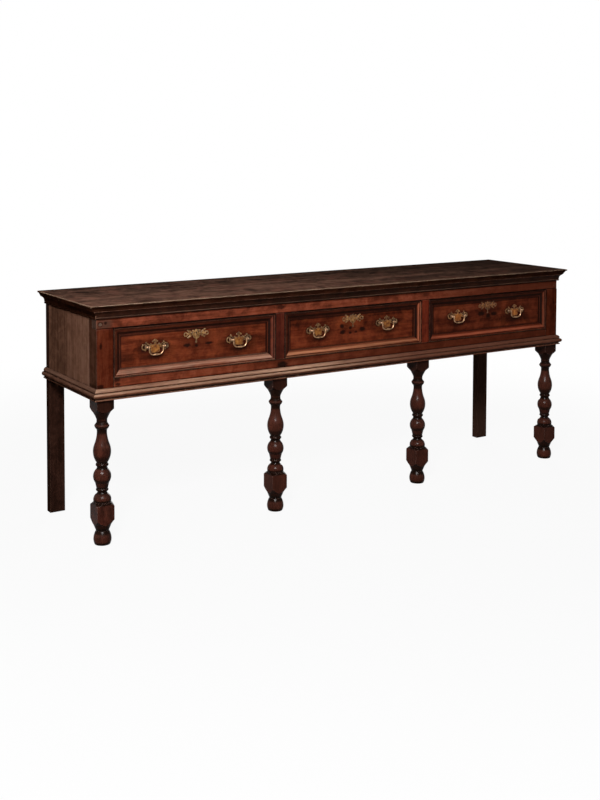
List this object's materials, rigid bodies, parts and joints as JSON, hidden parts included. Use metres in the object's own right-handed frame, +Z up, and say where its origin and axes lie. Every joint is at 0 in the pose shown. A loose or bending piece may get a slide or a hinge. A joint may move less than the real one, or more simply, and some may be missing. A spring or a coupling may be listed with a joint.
{
  "type": "dresser base",
  "caption": "Long oak dresser base with moulded drawers on turned front legs and plain back legs, with pierced brass handles, escutcheons and locks.",
  "frame": {"origin": "on the floor, under the middle of the bounding box", "axes": "+X to the viewer's right along the front, -Y to the front, +Z up"},
  "size_m": [2.118, 0.471, 0.79],
  "materials": {
    "top_oak": "waxed, dark",
    "frame_oak": "waxed, red-brown",
    "panel_oak": "waxed, brown",
    "leg_oak": "waxed, dark",
    "drawer_front_oak": "waxed, red-brown",
    "inner_oak": "bare",
    "brass": "aged",
    "lock_iron": "dull"
  },
  "bodies": {
    "case": {"top_front_board": "top_oak", "top_back_board": "top_oak", "cornice_front": "frame_oak", "cornice_returns": "frame_oak", "top_rail": "frame_oak", "bottom_rail": "frame_oak", "muntin_left": "frame_oak", "muntin_right": "frame_oak", "leg_front_left": "leg_oak", "leg_inner_left": "leg_oak", "leg_inner_right": "leg_oak", "leg_front_right": "leg_oak", "leg_back_left": "leg_oak", "leg_back_right": "leg_oak", "side_panel_left": "panel_oak", "side_panel_right": "panel_oak", "back_boards": "inner_oak", "back_rail": "inner_oak", "base_moulding_front": "frame_oak", "base_moulding_returns": "frame_oak", "drawer_runners": "inner_oak", "drawer_kickers": "inner_oak", "drawer_stops": "inner_oak", "rail_pegs": "frame_oak"},
    "drawer_left": {"drawer_left_front": "drawer_front_oak", "drawer_left_front_moulding": "drawer_front_oak", "drawer_left_sides": "inner_oak", "drawer_left_back": "inner_oak", "drawer_left_bottom": "inner_oak", "drawer_left_escutcheon": "brass", "drawer_left_lock": "lock_iron", "drawer_left_handle_plates": "brass", "drawer_left_handle_posts": "brass"},
    "drawer_left_lock_bolt": {"drawer_left_lock_bolt": "lock_iron"},
    "drawer_left_bail_left": {"drawer_left_bail_left": "brass"},
    "drawer_left_bail_right": {"drawer_left_bail_right": "brass"},
    "drawer_middle": {"drawer_middle_front": "drawer_front_oak", "drawer_middle_front_moulding": "drawer_front_oak", "drawer_middle_sides": "inner_oak", "drawer_middle_back": "inner_oak", "drawer_middle_bottom": "inner_oak", "drawer_middle_escutcheon": "brass", "drawer_middle_lock": "lock_iron", "drawer_middle_handle_plates": "brass", "drawer_middle_handle_posts": "brass"},
    "drawer_middle_lock_bolt": {"drawer_middle_lock_bolt": "lock_iron"},
    "drawer_middle_bail_left": {"drawer_middle_bail_left": "brass"},
    "drawer_middle_bail_right": {"drawer_middle_bail_right": "brass"},
    "drawer_right": {"drawer_right_front": "drawer_front_oak", "drawer_right_front_moulding": "drawer_front_oak", "drawer_right_sides": "inner_oak", "drawer_right_back": "inner_oak", "drawer_right_bottom": "inner_oak", "drawer_right_escutcheon": "brass", "drawer_right_lock": "lock_iron", "drawer_right_handle_plates": "brass", "drawer_right_handle_posts": "brass"},
    "drawer_right_lock_bolt": {"drawer_right_lock_bolt": "lock_iron"},
    "drawer_right_bail_left": {"drawer_right_bail_left": "brass"},
    "drawer_right_bail_right": {"drawer_right_bail_right": "brass"}
  },
  "joints": [
    {"name": "drawer_left_slide", "type": "slide", "parent": "case", "child": "drawer_left", "axis": [0, -1, 0], "range_m": [0, 0.3]},
    {"name": "drawer_left_bolt_slide", "type": "slide", "parent": "drawer_left", "child": "drawer_left_lock_bolt", "axis": [0, 0, 1], "range_m": [0, 0.009]},
    {"name": "drawer_left_bail_left_hinge", "type": "hinge", "parent": "drawer_left", "child": "drawer_left_bail_left", "pos_m": [-0.81367, -0.2061, 0.636], "axis": [-1, 0, 0], "range_deg": [-10, 190]},
    {"name": "drawer_left_bail_right_hinge", "type": "hinge", "parent": "drawer_left", "child": "drawer_left_bail_right", "pos_m": [-0.49167, -0.2061, 0.6325], "axis": [-1, 0, 0], "range_deg": [-10, 190]},
    {"name": "drawer_middle_slide", "type": "slide", "parent": "case", "child": "drawer_middle", "axis": [0, -1, 0], "range_m": [0, 0.3]},
    {"name": "drawer_middle_bolt_slide", "type": "slide", "parent": "drawer_middle", "child": "drawer_middle_lock_bolt", "axis": [0, 0, 1], "range_m": [0, 0.009]},
    {"name": "drawer_middle_bail_left_hinge", "type": "hinge", "parent": "drawer_middle", "child": "drawer_middle_bail_left", "pos_m": [-0.16, -0.2061, 0.636], "axis": [-1, 0, 0], "range_deg": [-10, 190]},
    {"name": "drawer_middle_bail_right_hinge", "type": "hinge", "parent": "drawer_middle", "child": "drawer_middle_bail_right", "pos_m": [0.152, -0.2061, 0.639], "axis": [-1, 0, 0], "range_deg": [-10, 190]},
    {"name": "drawer_right_slide", "type": "slide", "parent": "case", "child": "drawer_right", "axis": [0, -1, 0], "range_m": [0, 0.3]},
    {"name": "drawer_right_bolt_slide", "type": "slide", "parent": "drawer_right", "child": "drawer_right_lock_bolt", "axis": [0, 0, 1], "range_m": [0, 0.009]},
    {"name": "drawer_right_bail_left_hinge", "type": "hinge", "parent": "drawer_right", "child": "drawer_right_bail_left", "pos_m": [0.50167, -0.2061, 0.636], "axis": [-1, 0, 0], "range_deg": [-10, 190]},
    {"name": "drawer_right_bail_right_hinge", "type": "hinge", "parent": "drawer_right", "child": "drawer_right_bail_right", "pos_m": [0.80267, -0.2061, 0.6345], "axis": [-1, 0, 0], "range_deg": [-10, 190]}
  ]
}
